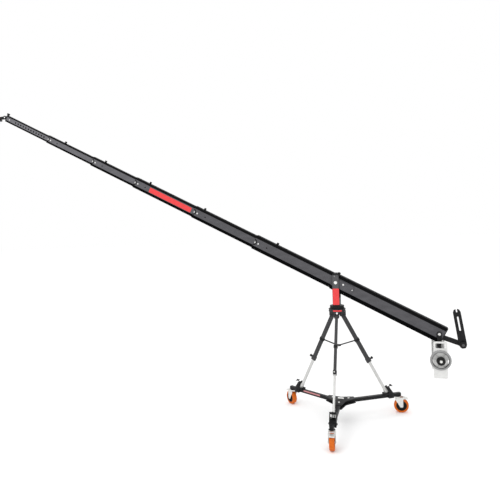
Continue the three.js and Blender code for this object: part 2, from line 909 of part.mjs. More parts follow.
// The hollow of an upper leg
function legCavity() {
  return {
    depth: upperLegDepth - upperLegWall * 2,
    width: upperLegWidth - upperLegWall * 2,
    corner: upperLegCorner - upperLegWall,
  };
}

// Leg pieces are drawn hanging down from the hinge pin, the outer side towards +X
function upperLeg() {
  const bottom = -upperLegLength;
  const collarTop = bottom + legClampLength;
  const side = upperLegWidth / 2;
  const cavity = legCavity();
  const tube = runZ(upperLegDepth, upperLegWidth, upperLegCorner, bottom, 0);
  const knuckle = cylinderY(upperLegDepth / 2, -side, side);
  const collar = runZ(
    upperLegDepth + legClampWall * 2, upperLegWidth + legClampWall * 2, upperLegCorner,
    bottom, collarTop);
  const boss = cylinderZ(legBossRadius, 0, legBossReach, coarseSides);
  const stemHole = boreZ(legStemRadius, 0, legBossReach + overrun, coarseSides);
  const middle = bottom + legClampLength / 2;
  [boss, stemHole].forEach((piece) => piece.rotateY(Math.PI / 2).translate(0, 0, middle));
  const bore = runZ(cavity.depth, cavity.width, cavity.corner, collarTop, -upperLegDepth);
  const mouth = runZ(
    lowerLegDepth + gap * 2, lowerLegWidth + gap * 2, lowerLegCorner, bottom - overrun, collarTop + overrun);
  const pinHole = boreY(hingePinRadius, -side - overrun, side + overrun, coarseSides);
  return cut(join(tube, knuckle, collar, boss), bore, mouth, stemHole, pinHole);
}

function lowerLeg() {
  const top = -upperLegLength + lowerLegNested;
  const footTop = -legSpan() + footLength - footSink;
  const footBottom = -legSpan() - footSink;
  const cavity = legCavity();
  const tube = runZ(lowerLegDepth, lowerLegWidth, lowerLegCorner, footTop - bite, top);
  const slider = runZ(
    cavity.depth - gap * 2, cavity.width - gap * 2, cavity.corner, top - legSliderLength, top);
  const bore = runZ(
    lowerLegDepth - lowerLegWall * 2, lowerLegWidth - lowerLegWall * 2, lowerLegCorner - lowerLegWall,
    footTop, top + overrun);
  const foot = turned([
    [0, footBottom],
    [footRadius - bite, footBottom],
    [footRadius, footBottom + bite],
    [footRadius, footTop - bite],
    [footRadius - bite, footTop],
    [0, footTop],
  ], roundSides);
  return join(cut(join(tube, slider), bore), foot);
}

function legKnob() {
  const stem = legBossReach - lowerLegDepth / 2 - pressRoom;
  return knob(legKnobRadius, legKnobHeight, lockNeckRadius, lockNeckHeight, legStemRadius, stem)
    .translate(0, 0, legBossReach + gap).rotateY(Math.PI / 2)
    .translate(0, 0, -upperLegLength + legClampLength / 2);
}

// A length of tube that stands a wall's thickness outside an upper leg
function legRing(wall, half) {
  return runZ(upperLegDepth + wall * 2, upperLegWidth + wall * 2, upperLegCorner + wall, -half, half);
}

// The spreader's hub, its bars and the rings round the upper legs
function spreader() {
  const hinge = legHinge();
  const drop = upperLegLength * spreaderShare;
  const ringReach = hinge.reach + drop * Math.sin(legSplay());
  const ringHeight = hinge.height - drop * Math.cos(legSplay());
  const hubHeight = ringHeight - spreaderHubDrop;
  const half = spreaderHubHeight / 2;
  const pieces = [cylinderZ(spreaderHubRadius, hubHeight - half, hubHeight + half)];
  const barStart = new THREE.Vector2(spreaderHubRadius / 2, hubHeight);
  const barStop = new THREE.Vector2(ringReach, ringHeight);
  const bores = [];
  for (let k = 0; k < legCount; k++) {
    const length = barStart.distanceTo(barStop);
    const slope = Math.atan2(barStop.y - barStart.y, barStop.x - barStart.x);
    const bar = box(length, spreaderBarWidth, spreaderBarHeight, length / 2, 0, 0);
    bar.rotateY(-slope).translate(barStart.x, 0, barStart.y);
    const ring = legRing(spreaderRingWall, spreaderRingLength / 2);
    const bore = legRing(gap, spreaderRingLength * 2);
    [ring, bore].forEach((piece) => piece.rotateY(-legSplay()).translate(ringReach, 0, ringHeight));
    [bar, ring, bore].forEach((piece) => piece.rotateZ(legAngle(k)));
    pieces.push(bar, ring);
    bores.push(bore);
  }
  return cut(join(...pieces), ...bores);
}

// Dolly: three arms between two hub plates, with a boss for each caster
function hubPlate(bottom, slotted) {
  const points = [];
  const half = hubPlateTipWidth / 2;
  for (let k = 0; k < legCount; k++) {
    const angle = legAngle(k);
    const along = new THREE.Vector2(Math.cos(angle), Math.sin(angle));
    const across = new THREE.Vector2(-along.y, along.x);
    points.push([along.x * hubPlateReach - across.x * half, along.y * hubPlateReach - across.y * half]);
    points.push([along.x * hubPlateReach + across.x * half, along.y * hubPlateReach + across.y * half]);
    const waist = angle + Math.PI / legCount;
    points.push([Math.cos(waist) * hubPlateWaist, Math.sin(waist) * hubPlateWaist]);
  }
  const shape = polygon(points);
  const slot = roundedRectangle(hubSlotLength, hubSlotWidth, hubSlotWidth / 3, 0, hubSlotOffset);
  if (slotted) shape.holes.push(slot);
  return extrude(shape, hubPlateThickness).translate(0, 0, bottom);
}

function dollyFrame() {
  const half = armSize / 2;
  const pieces = [
    hubPlate(armHeight + half - bite, true),
    hubPlate(armHeight - half - hubPlateThickness + bite, false),
  ];
  for (let k = 0; k < legCount; k++) {
    const length = armReach - armStart;
    const arm = box(length, armSize, armSize, armStart + length / 2, 0, armHeight);
    const boss = cylinderZ(casterBossRadius, armHeight - half - casterBossHeight, armHeight - half + bite);
    boss.translate(casterReach, 0, 0);
    pieces.push(arm.rotateZ(legAngle(k)), boss.rotateZ(legAngle(k)));
  }
  return join(...pieces);
}

// Foot clamp, drawn for an arm along X: it grips the arm and cups the leg's foot
function footClamp() {
  const half = armSize / 2;
  const outerHalf = clampCheekInner + clampCheekThickness;
  const top = armHeight + half + clampSide;
  const bottom = armHeight - half - clampSide;
  const back = clampReach + clampLength / 2;
  const front = clampReach - clampLength / 2;
  const press = pressPoint(clampBarAt);
  const cheekShape = polygon([
    [back, bottom],
    [back, top],
    [press.x + clampHeadRadius, press.z],
    [press.x + clampHeadRadius / 2, press.z + clampHeadRadius],
    [press.x - clampHeadRadius, press.z + clampHeadRadius / 2],
    [press.x - clampHeadRadius, press.z - clampHeadRadius],
    [front, top],
    [front, bottom],
  ]);
  const cheeks = platePair(cheekShape, clampCheekInner, outerHalf);
  const block = box(clampLength, outerHalf * 2 - bite, top - bottom, clampReach, 0, (top + bottom) / 2);
  const seat = box(
    clampSeatLength + bite, outerHalf * 2 - bite, half,
    front - (clampSeatLength - bite) / 2, 0, top + clampSeatRise - half / 2);
  const bar = box(clampBarThickness, clampCheekInner * 2 + bite, clampBarHeight, 0, 0, 0);
  bar.rotateY(-legSplay()).translate(press.x, 0, press.z);
  const bolt = cylinderY(clampBoltRadius, -clampBoltReach, clampBoltReach, nutSides);
  const armHole = box(
    armReach, armSize + gap * 2, armSize + gap * 2, clampReach, 0, armHeight);
  return cut(
    join(...cheeks, block, seat, bar, bolt.translate(clampReach, 0, armHeight)),
    armHole, footRoom(), leverHole());
}

// A point that far out from the leg's axis, square to it, at the height the lever presses
function pressPoint(distance) {
  const splay = legSplay();
  const up = leverPressHeight;
  return new THREE.Vector3(
    legFootReach - up * Math.sin(splay) + distance * Math.cos(splay), 0,
    legFootHeight + up * Math.cos(splay) + distance * Math.sin(splay));
}

// The room that the foot takes in the clamp, open along the leg
function footRoom() {
  const room = boreZ(footRadius, -footSink - gap, legFootReach);
  return room.rotateY(-legSplay()).translate(legFootReach, 0, legFootHeight);
}

function leverHole() {
  const hole = boreZ(leverStemRadius, 0, leverLength, coarseSides);
  return hole.rotateY(Math.PI / 2 - legSplay()).translate(pressPoint(0).x, 0, pressPoint(0).z);
}

// The T lever that tightens the clamp, its screw pointing at the foot
function footLever() {
  const start = footRadius + pressRoom;
  const stem = cylinderZ(leverStemRadius, start, leverLength, coarseSides);
  const hub = cylinderZ(leverHubRadius, leverLength - leverHubLength, leverLength);
  const bar = cylinderY(leverBarRadius, -leverBarLength / 2, leverBarLength / 2, coarseSides);
  bar.translate(0, 0, leverLength - leverHubLength / 2);
  return join(stem, hub, bar);
}

// Casters, drawn with the swivel axis on Z and the wheel trailing towards +X
function forkTop() {
  return armHeight - armSize / 2 - casterBossHeight - gap;
}

function brakePivotHeight() {
  return forkTop() - brakeLugRadius - bite;
}

function fork() {
  const inner = tyreWidth / 2 + forkCheekClearance;
  const outer = inner + forkCheekThickness;
  const top = forkTop();
  const bottom = top - forkCrownThickness;
  const shape = new THREE.Shape();
  shape.moveTo(-forkCrownRadius / 2, top);
  shape.lineTo(-forkCrownRadius / 2, bottom);
  shape.lineTo(forkTrail - forkEndRadius, wheelRadius);
  shape.absarc(forkTrail, wheelRadius, forkEndRadius, Math.PI, Math.PI * 2, false);
  shape.lineTo(forkCrownRadius, bottom - forkCrownThickness);
  shape.lineTo(brakePivotTrail, brakePivotHeight() - brakeLugRadius);
  shape.absarc(brakePivotTrail, brakePivotHeight(), brakeLugRadius, -Math.PI / 2, Math.PI / 2, false);
  shape.lineTo(forkCrownRadius, top);
  const cheeks = platePair(shape, inner, outer, cornerSteps * 2);
  const crownPlate = cylinderZ(forkCrownRadius, bottom, top);
  const bridge = box(forkCrownRadius * 3 / 2, outer * 2 - bite, forkCrownThickness, forkCrownRadius / 4, 0,
    (top + bottom) / 2);
  const nutEnd = outer + axleNutLength;
  const axle = cylinderY(axleRadius, -outer, outer, coarseSides).translate(forkTrail, 0, wheelRadius);
  const nuts = [
    cylinderY(axleNutRadius, -nutEnd, -outer + bite, nutSides),
    cylinderY(axleNutRadius, outer - bite, nutEnd, nutSides),
  ];
  nuts.forEach((nut) => nut.translate(forkTrail, 0, wheelRadius));
  const pin = cylinderY(brakePinRadius, -inner - bite, inner + bite, coarseSides);
  pin.translate(brakePivotTrail, 0, brakePivotHeight());
  return join(...cheeks, crownPlate, bridge, axle, ...nuts, pin);
}

function rim() {
  const half = rimWidth / 2;
  const web = rimWebThickness / 2;
  const outer = tyreInner - gap;
  const bore = axleRadius + gap;
  return turnedY([
    [bore, -half],
    [rimHubRadius, -half],
    [rimHubRadius + bite, -web],
    [outer - rimLip, -web],
    [outer, -half],
    [outer, half],
    [outer - rimLip, web],
    [rimHubRadius + bite, web],
    [rimHubRadius, half],
    [bore, half],
    [bore, -half],
  ], fineSides);
}

function tyre() {
  const half = tyreWidth / 2;
  const shoulder = half - tyreCrown;
  const edge = wheelRadius - tyreCrown;
  return turnedY([
    [tyreInner, -half],
    [edge, -half],
    [wheelRadius - bite, -shoulder],
    [wheelRadius, -shoulder / 2],
    [wheelRadius, shoulder / 2],
    [wheelRadius - bite, shoulder],
    [edge, half],
    [tyreInner, half],
    [tyreInner, -half],
  ], fineSides);
}

// The pedal that presses on the tyre, drawn from its own pivot
function brakePedal() {
  const half = tyreWidth / 2 + forkCheekClearance - gap;
  const barrel = cylinderY(brakePivotRadius, -half, half, coarseSides);
  const shoeEnd = brakeShoeStart + brakeShoeLength;
  const shape = polygon([
    [0, brakePivotRadius],
    [0, brakePivotRadius - brakeThickness],
    [brakeShoeStart - bite, brakePivotRadius - brakeThickness - brakeDroop * brakeShoeStart / brakeReach],
    [brakeShoeStart, -brakeShoeDrop],
    [shoeEnd, -brakeShoeDrop],
    [shoeEnd + bite, brakePivotRadius - brakeThickness - brakeDroop * shoeEnd / brakeReach],
    [brakeReach, brakePivotRadius - brakeThickness - brakeDroop],
    [brakeReach, brakePivotRadius - brakeThickness - brakeDroop - brakeLipDrop],
    [brakeReach + brakeThickness, brakePivotRadius - brakeThickness - brakeDroop - brakeLipDrop],
    [brakeReach + brakeThickness, brakePivotRadius - brakeDroop],
  ]);
  const tread = plateY(shape, -half, half);
  return cut(join(barrel, tread), boreY(brakePinRadius, -half - overrun, half + overrun, coarseSides));
}

// Assembly
function piece(name, geometry, material) {
  const mesh = new THREE.Mesh(geometry, new THREE.MeshStandardMaterial(materials[material]));
  mesh.name = name;
  return mesh;
}

function hangerGroup() {
  const group = new THREE.Group();
  group.position.set(hangerAt, 0, 0);
  group.rotation.y = -boomTilt;
  group.add(
    piece('hanger_clevis', hangerClevis(), 'blackPaint'),
    piece('hanger_plate_near', hangerPlate(-1), 'paleSilver'),
    piece('hanger_plate_far', hangerPlate(1), 'paleSilver'),
    piece('weight_rod', weightRod().translate(0, 0, -rodDrop), 'silver'),
    piece('grip_disc', gripDisc(), 'iron'),
    piece('rod_collar', rodCollar(), 'blackPlastic'));
  for (let k = 0; k < discCount; k++) {
    group.add(piece(`weight_disc_${k + 1}`, weightDisc(k).translate(0, 0, -rodDrop), 'iron'));
  }
  return group;
}

function monitorGroup() {
  const group = new THREE.Group();
  group.position.copy(barEnd());
  group.rotation.y = -boomTilt - bracketLean;
  group.add(
    piece('monitor_bracket', monitorBracket(), 'blackPaint'),
    piece('monitor_knob', monitorKnob(), 'blackPlastic'));
  return group;
}

function tipGroup() {
  const group = new THREE.Group();
  group.position.copy(tipPivot());
  group.rotation.y = -boomTilt;
  group.add(piece('tip_arm', tipArm(), 'blackPaint'));
  return group;
}

function boomGroup() {
  const group = new THREE.Group();
  group.position.set(0, 0, pivotHeight);
  group.rotation.y = boomTilt;
  group.add(piece('main_tube', mainTube(), 'blackBeam'), piece('rear_bar', rearBar(), 'greySteel'));
  for (let i = 1; i < beams.length; i++) group.add(piece(`section_${i}`, boomSection(i), 'blackBeam'));
  for (let i = 0; i < beams.length - 1; i++) {
    const lock = piece(`lock_knob_${i + 1}`, lockKnob(i), 'blackPlastic');
    lock.position.set(beams[i].front + lockSetbacks[i], 0, beams[i].height / 2);
    group.add(lock);
  }
  const tip = piece('tip_knob', tipKnob(), 'blackPlastic');
  tip.position.copy(tipKnobPlace());
  group.add(piece('tip_cap', tipCap(), 'blackPaint'), tip, tipGroup(), monitorGroup(), hangerGroup());
  return group;
}

function headGroup() {
  const group = new THREE.Group();
  const upright = piece('yoke', yoke(), 'greySteel');
  upright.position.z = pivotHeight;
  group.add(upright, piece('pan_base', panBase(), 'blackPaint'), piece('crown', crown(), 'greySteel'));
  return group;
}

function legGroup(k) {
  const side = new THREE.Group();
  side.rotation.z = legAngle(k);
  const hinge = legHinge();
  const leg = new THREE.Group();
  leg.position.set(hinge.reach, 0, hinge.height);
  leg.rotation.y = -legSplay();
  leg.add(
    piece(`leg_upper_${k + 1}`, upperLeg(), 'blackPaint'),
    piece(`leg_lower_${k + 1}`, lowerLeg(), 'silver'),
    piece(`leg_knob_${k + 1}`, legKnob(), 'blackPlastic'));
  const lever = piece(`foot_lever_${k + 1}`, footLever(), 'blackPlastic');
  lever.position.copy(pressPoint(0));
  lever.rotation.y = Math.PI / 2 - legSplay();
  side.add(leg, piece(`foot_clamp_${k + 1}`, footClamp(), 'blackPaint'), lever);
  return side;
}

function casterGroup(k) {
  const group = new THREE.Group();
  const angle = legAngle(k);
  group.position.set(Math.cos(angle) * casterReach, Math.sin(angle) * casterReach, 0);
  group.rotation.z = THREE.MathUtils.degToRad(forkHeadings[k]);
  const wheel = new THREE.Group();
  wheel.position.set(forkTrail, 0, wheelRadius);
  wheel.add(piece(`rim_${k + 1}`, rim(), 'blackPlastic'), piece(`tyre_${k + 1}`, tyre(), 'orangeTyre'));
  const pedal = piece(`brake_pedal_${k + 1}`, brakePedal(), 'redPlastic');
  pedal.position.set(brakePivotTrail, 0, brakePivotHeight());
  group.add(piece(`caster_fork_${k + 1}`, fork(), 'silver'), wheel, pedal);
  return group;
}

function crane() {
  const group = new THREE.Group();
  group.add(boomGroup(), headGroup(), piece('spreader', spreader(), 'blackPaint'));
  group.add(piece('dolly_frame', dollyFrame(), 'greySteel'));
  for (let k = 0; k < legCount; k++) group.add(legGroup(k), casterGroup(k));
  group.updateMatrixWorld(true);
  const bounds = new THREE.Box3().setFromObject(group, true);
  const middle = bounds.getCenter(new THREE.Vector3());
  group.position.set(-middle.x, -middle.y, -bounds.min.z);
  return group;
}

export default crane();
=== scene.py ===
"""Looks of the camera jib crane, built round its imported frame. Lengths are in metres."""
import math

import bpy
from mathutils import Matrix, Vector


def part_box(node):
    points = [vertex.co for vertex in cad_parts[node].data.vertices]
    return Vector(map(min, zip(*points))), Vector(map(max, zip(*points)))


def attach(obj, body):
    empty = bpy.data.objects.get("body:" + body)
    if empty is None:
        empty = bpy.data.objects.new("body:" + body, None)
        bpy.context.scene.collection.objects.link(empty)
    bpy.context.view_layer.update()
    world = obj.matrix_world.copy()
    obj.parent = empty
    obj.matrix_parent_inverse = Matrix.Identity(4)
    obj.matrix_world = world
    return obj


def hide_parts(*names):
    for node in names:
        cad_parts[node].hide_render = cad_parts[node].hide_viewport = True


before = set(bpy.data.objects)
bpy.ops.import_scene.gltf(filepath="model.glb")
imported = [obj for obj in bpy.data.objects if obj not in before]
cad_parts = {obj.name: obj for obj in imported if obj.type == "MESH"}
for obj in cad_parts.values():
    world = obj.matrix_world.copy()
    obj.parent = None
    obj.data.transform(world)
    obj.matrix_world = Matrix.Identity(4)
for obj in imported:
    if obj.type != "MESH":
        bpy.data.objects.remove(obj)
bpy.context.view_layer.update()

RIGHT = Vector((1, 0, 0))
BACK = Vector((0, 1, 0))
NEAR = Vector((0, -1, 0))
UP = Vector((0, 0, 1))
SIDES = ((-1, "near"), (1, "far"))
PAIR = ((-1, "a"), (1, "b"))


def middle_of(corners):
    """The middle of a box, from its lowest and highest corners."""
    low, high = corners
    return (low + high) / 2


# The boom, by its pivot and the driving sizes of its nested beams
AXIS = Vector((middle_of(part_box("crown")).x, middle_of(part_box("main_tube")).y, 0))
PIVOT_HEIGHT = 1.42
PIVOT = AXIS + UP * PIVOT_HEIGHT
TILT = math.radians(27.4)
REAR = Vector((math.cos(TILT), 0, -math.sin(TILT)))
NORMAL = Vector((math.sin(TILT), 0, math.cos(TILT)))
BEAM_COUNT = 7
TIP_BEAM = BEAM_COUNT - 1
LABEL_BEAM = 3
MAIN_WIDTH, WIDTH_STEP = 0.09, 0.0096
BEAM_WIDTHS = [MAIN_WIDTH - WIDTH_STEP * i for i in range(BEAM_COUNT)]
BEAM_HEIGHTS = [0.165, 0.152, 0.134, 0.122, 0.108, 0.094, 0.081]
BEAM_FRONTS = [-0.035, -0.944, -1.708, -2.510, -3.126, -3.809, -4.474]
BEAM_NODES = ["main_tube"] + [f"section_{i}" for i in range(1, BEAM_COUNT)]
BEAM_BODIES = ["main_boom"] + [f"boom_section_{i}" for i in range(1, BEAM_COUNT)]
WEB_SINK = 0.0012
NOTCH_SPAN = 0.023
HANGER_REACH = 1.077

# The head, the legs and the dolly
LEG_ANGLES = [math.radians(angle) for angle in (-90, 30, 150)]
FORK_HEADINGS = [math.radians(angle) for angle in (-85, 5, 135)]
LABEL_ARM = 2
ARM_HEIGHT = 0.190
HINGE_REACH, HINGE_HEIGHT = 0.060, 1.0797
FOOT_REACH, FOOT_HEIGHT = 0.500, 0.262
SPLAY = math.atan2(FOOT_REACH - HINGE_REACH, HINGE_HEIGHT - FOOT_HEIGHT)
YOKE_HALF = 0.064
TRUNNION_HALF = 0.053
CLEVIS_HALF = 0.0613


def boom_point(along, side, above):
    """A place by its distance behind the pivot, beside the centre plane and above the centre line."""
    return PIVOT + REAR * along + Vector((0, side, 0)) + NORMAL * above


def web_face(i):
    """Half the width of a beam over its sunk webs."""
    return BEAM_WIDTHS[i] / 2 - WEB_SINK


def arm_point(k, reach, side, height):
    """A place by its distance out along an arm of the dolly or tripod, beside it and above the floor."""
    angle = LEG_ANGLES[k]
    out = Vector((math.cos(angle), math.sin(angle), 0))
    across = Vector((-math.sin(angle), math.cos(angle), 0))
    return AXIS + out * reach + across * side + UP * height


def arm_across(k):
    """The direction across an arm."""
    return arm_point(k, 0, 1, 0) - arm_point(k, 0, 0, 0)


def leg_point(k, down, out=0.0):
    """A place by its distance down a leg from the hinge and out from its axis."""
    reach = HINGE_REACH + down * math.sin(SPLAY) + out * math.cos(SPLAY)
    return arm_point(k, reach, 0.0, HINGE_HEIGHT - down * math.cos(SPLAY) + out * math.sin(SPLAY))


# Material nodes
EDGE_SAMPLES = 4
EDGE_COSINES = (0.98, 0.84)
MIX_SHARE, MIX_FIRST, MIX_SECOND = 0, 6, 7
MIX_RESULT = 2


class Shader:
    """The node tree of one material, with a few short ways to extend it."""

    def __init__(self, name):
        self.material = bpy.data.materials.new(name)
        self.material.use_nodes = True
        self.tree = self.material.node_tree
        self.out = self.tree.nodes["Principled BSDF"]
        self.place = self.add("ShaderNodeTexCoord").outputs["Object"]

    def add(self, kind, **values):
        node = self.tree.nodes.new(kind)
        for key, value in values.items():
            setattr(node, key, value)
        return node

    def feed(self, socket, value):
        """Links a socket to another, or sets its colour or number."""
        if isinstance(value, bpy.types.NodeSocket):
            self.tree.links.new(value, socket)
        elif hasattr(value, "__len__") and len(value) == 3 and len(socket.default_value) == 4:
            socket.default_value = (*value, 1)
        else:
            socket.default_value = value

    def math(self, operation, first, second=0.0):
        node = self.add("ShaderNodeMath", operation=operation)
        self.feed(node.inputs[0], first)
        self.feed(node.inputs[1], second)
        return node.outputs[0]

    def dot(self, origin, direction):
        """How far a point lies from the origin along a direction."""
        shift = self.add("ShaderNodeVectorMath", operation="SUBTRACT")
        self.feed(shift.inputs[0], self.place)
        shift.inputs[1].default_value = origin
        node = self.add("ShaderNodeVectorMath", operation="DOT_PRODUCT")
        self.feed(node.inputs[0], shift.outputs[0])
        node.inputs[1].default_value = direction
        return node.outputs["Value"]

    def noise(self, scale, detail, stretch=None):
        place = self.place
        if stretch is not None:
            mapping = self.add("ShaderNodeMapping")
            mapping.inputs["Scale"].default_value = stretch
            self.feed(mapping.inputs["Vector"], self.place)
            place = mapping.outputs[0]
        node = self.add("ShaderNodeTexNoise")
        self.feed(node.inputs["Vector"], place)
        node.inputs["Scale"].default_value = scale
        node.inputs["Detail"].default_value = detail
        return node.outputs["Fac"]

    def remap(self, value, low, high, to_low=0.0, to_high=1.0):
        node = self.add("ShaderNodeMapRange")
        self.feed(node.inputs["Value"], value)
        ends = {"From Min": low, "From Max": high, "To Min": to_low, "To Max": to_high}
        for key, number in ends.items():
            node.inputs[key].default_value = number
        return node.outputs[0]

    def mix(self, share, first, second):
        node = self.add("ShaderNodeMix", data_type="RGBA")
        self.feed(node.inputs[MIX_SHARE], share)
        self.feed(node.inputs[MIX_FIRST], first)
        self.feed(node.inputs[MIX_SECOND], second)
        return node.outputs[MIX_RESULT]

    def edges(self, radius):
        """How much of an edge a point is, for rubbed edges and for painted edge shade."""
        bevel = self.add("ShaderNodeBevel", samples=EDGE_SAMPLES)
        bevel.inputs["Radius"].default_value = radius
        geometry = self.add("ShaderNodeNewGeometry")
        node = self.add("ShaderNodeVectorMath", operation="DOT_PRODUCT")
        self.feed(node.inputs[0], bevel.outputs[0])
        self.feed(node.inputs[1], geometry.outputs["Normal"])
        return self.remap(node.outputs["Value"], *EDGE_COSINES)


UNEVEN_DETAIL, FINE_DETAIL = 6.0, 3.0
UNEVEN_RANGE = (0.3, 0.7)
RUB_RANGE = (0.25, 0.6)
RUB_FINER = 7
LEAST_ROUGH, ROUGH_BELOW, ROUGH_ABOVE = 0.05, 0.07, 0.08
RELIEF_STRENGTH = 0.5


def shade(name, colour, rough, metal=0.0, spread=0.12, grain=60.0, fine=900.0, bump=0.00015, edge_wear_and_shade=None,
          edge_wear_and_shade_share=0.5, edge_wear_and_shade_width=0.0012, extra=None, stretch=None, specular=0.5):
    """A finish with uneven colour and roughness, fine relief and tinted edges: rubbed edges on most
    finishes, painted shade on the pale plate's edges.
    """
    s = Shader(name)
    uneven = s.remap(s.noise(grain, UNEVEN_DETAIL, stretch), *UNEVEN_RANGE)
    dark = [c * (1 - spread) for c in colour]
    light = [min(1, c * (1 + spread)) for c in colour]
    tint = s.mix(uneven, dark, light)
    if extra:
        tint = extra(s, tint, uneven)
    rub = s.remap(s.noise(grain * RUB_FINER, FINE_DETAIL), *RUB_RANGE)
    # Edges tinted towards the edge colour: rubbed edges, except on the pale plate, where the darker edges
    # are painted shade.
    if edge_wear_and_shade:
        edge = s.math("MULTIPLY", s.edges(edge_wear_and_shade_width), s.math("MULTIPLY", rub, edge_wear_and_shade_share))
        tint = s.mix(edge, tint, edge_wear_and_shade)
    smooth, dull = max(LEAST_ROUGH, rough - ROUGH_BELOW), min(1, rough + ROUGH_ABOVE)
    s.feed(s.out.inputs["Base Color"], tint)
    s.feed(s.out.inputs["Metallic"], metal)
    s.feed(s.out.inputs["Roughness"], s.remap(rub, 0.0, 1.0, smooth, dull))
    s.feed(s.out.inputs["Specular IOR Level"], specular)
    relief = s.add("ShaderNodeBump")
    relief.inputs["Strength"].default_value = RELIEF_STRENGTH
    relief.inputs["Distance"].default_value = bump
    s.feed(relief.inputs["Height"], s.noise(fine, FINE_DETAIL, stretch))
    s.feed(s.out.inputs["Normal"], relief.outputs[0])
    return s.material


WEB_GREYS = [0.090, 0.088, 0.090, 0.100, 0.120, 0.140, 0.155]
WEB_CAST = (1, 0.985, 1.06)
FLANGE = (0.0026, 0.0026, 0.0029)
FLANGE_SPREAD = 0.2
UPPER_SHARE, LOWER_SHARE = 0.20, 0.245
BEAM_GLOSS, LOWER_FLANGE_GLOSS = 0.08, 0.01


def beam_finish(i):
    """Grey web between black flanges, drawn out along the beam."""
    half = BEAM_HEIGHTS[i] / 2

    def flanges(s, tint, uneven):
        above = s.dot(PIVOT, NORMAL)
        dark = s.mix(uneven, [c * (1 - FLANGE_SPREAD) for c in FLANGE],
                     [c * (1 + FLANGE_SPREAD) for c in FLANGE])
        upper = s.math("GREATER_THAN", above, half * (1 - UPPER_SHARE * 2))
        lower = s.math("LESS_THAN", above, half * (LOWER_SHARE * 2 - 1))
        gloss = s.remap(lower, 0, 1, BEAM_GLOSS, LOWER_FLANGE_GLOSS)
        s.feed(s.out.inputs["Specular IOR Level"], gloss)
        return s.mix(s.math("ADD", upper, lower), tint, dark)

    return shade(f"beam_{i}", [WEB_GREYS[i] * share for share in WEB_CAST], rough=0.5, metal=0.25,
                 extra=flanges, edge_wear_and_shade=(0.2, 0.2, 0.21), edge_wear_and_shade_share=0.25, stretch=(0.25, 1, 1), grain=30,
                 specular=BEAM_GLOSS)


def disc_web_and_step_shade(s, tint, uneven):
    """The sunk middle of the grip disc, lighter than its rim, and a dark band of painted shade where the web
    meets the rim.
    """
    web_end, rim_start = (0.0705, 0.0715), (0.0765, 0.0780)
    middle = middle_of(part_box("grip_disc"))
    across, along = s.dot(middle, RIGHT), s.dot(middle, UP)
    squares = [s.math("MULTIPLY", way, way) for way in (across, along)]
    reach = s.math("SQRT", s.math("ADD", *squares))
    web = s.mix(uneven, (0.34, 0.34, 0.336), (0.42, 0.42, 0.414))
    # A dark band where the web meets the rim, painted as shade.
    step_shade = s.mix(s.remap(reach, *web_end), web, (0.09, 0.09, 0.09))
    return s.mix(s.remap(reach, *rim_start), step_shade, tint)


WORN = (0.30, 0.29, 0.28)
FINISH_VALUES = {
    "black_paint": dict(colour=(0.009, 0.009, 0.010), rough=0.45, edge_wear_and_shade=WORN, edge_wear_and_shade_share=0.3, specular=0.15),
    "black_alloy": dict(colour=(0.012, 0.012, 0.013), rough=0.4, metal=0.1, edge_wear_and_shade=WORN, edge_wear_and_shade_share=0.3,
                        specular=0.15),
    "grey_alloy": dict(colour=(0.084, 0.083, 0.087), rough=0.42, metal=0.2, edge_wear_and_shade=WORN, edge_wear_and_shade_share=0.4,
                       specular=0.2),
    "leg_alloy": dict(colour=(0.046, 0.046, 0.048), rough=0.4, metal=0.2, edge_wear_and_shade=WORN, edge_wear_and_shade_share=0.3,
                      specular=0.2, stretch=(1, 1, 0.2)),
    "dark_alloy": dict(colour=(0.031, 0.031, 0.033), rough=0.42, metal=0.2, edge_wear_and_shade=WORN, edge_wear_and_shade_share=0.3,
                       specular=0.2),
    "silver_alloy": dict(colour=(0.56, 0.56, 0.55), rough=0.32, metal=0.6, spread=0.05,
                         stretch=(1, 1, 0.15), edge_wear_and_shade=(0.8, 0.8, 0.8), edge_wear_and_shade_share=0.3),
    # The pale plate's darker edges are painted shade on its rounded edges.
    "pale_plate": dict(colour=(0.66, 0.66, 0.65), rough=0.4, metal=0.1, spread=0.05, edge_wear_and_shade=(0.3, 0.3, 0.3),
                       edge_wear_and_shade_width=0.003, edge_wear_and_shade_share=0.8),
    "zinc": dict(colour=(0.70, 0.70, 0.68), rough=0.32, metal=0.7, spread=0.08, edge_wear_and_shade=(0.8, 0.8, 0.8),
                 edge_wear_and_shade_share=0.3),
    "iron": dict(colour=(0.29, 0.29, 0.29), rough=0.5, metal=0.3, grain=120, bump=0.0004,
                 edge_wear_and_shade=(0.5, 0.5, 0.5)),
    "disc_iron": dict(colour=(0.27, 0.27, 0.27), rough=0.5, metal=0.2, grain=120, bump=0.0004,
                      edge_wear_and_shade=(0.6, 0.6, 0.6), edge_wear_and_shade_width=0.003, edge_wear_and_shade_share=0.7, extra=disc_web_and_step_shade),
    "black_plastic": dict(colour=(0.008, 0.008, 0.008), rough=0.5, fine=2200, bump=0.0001,
                          edge_wear_and_shade=(0.05, 0.05, 0.05), edge_wear_and_shade_share=0.6, specular=0.2),
    "orange_tyre": dict(colour=(0.60, 0.125, 0.008), rough=0.45, spread=0.08, edge_wear_and_shade=(0.5, 0.15, 0.03),
                        specular=0.2),
    "red": dict(colour=(0.72, 0.048, 0.052), rough=0.4, spread=0.08, specular=0.3),
    "pink": dict(colour=(0.52, 0.21, 0.22), rough=0.6, spread=0.1),
    "white_nylon": dict(colour=(0.80, 0.80, 0.78), rough=0.4, spread=0.04),
    "grey_nylon": dict(colour=(0.20, 0.20, 0.198), rough=0.5, spread=0.06),
    # Near black for plugs and bushes in holes, and for painted shade on the notch edges.
    "dark_hole_and_shade": dict(colour=(0.004, 0.004, 0.004), rough=0.9, spread=0.3, specular=0.05),
}
FINISH = {name: shade(name, **values) for name, values in FINISH_VALUES.items()}
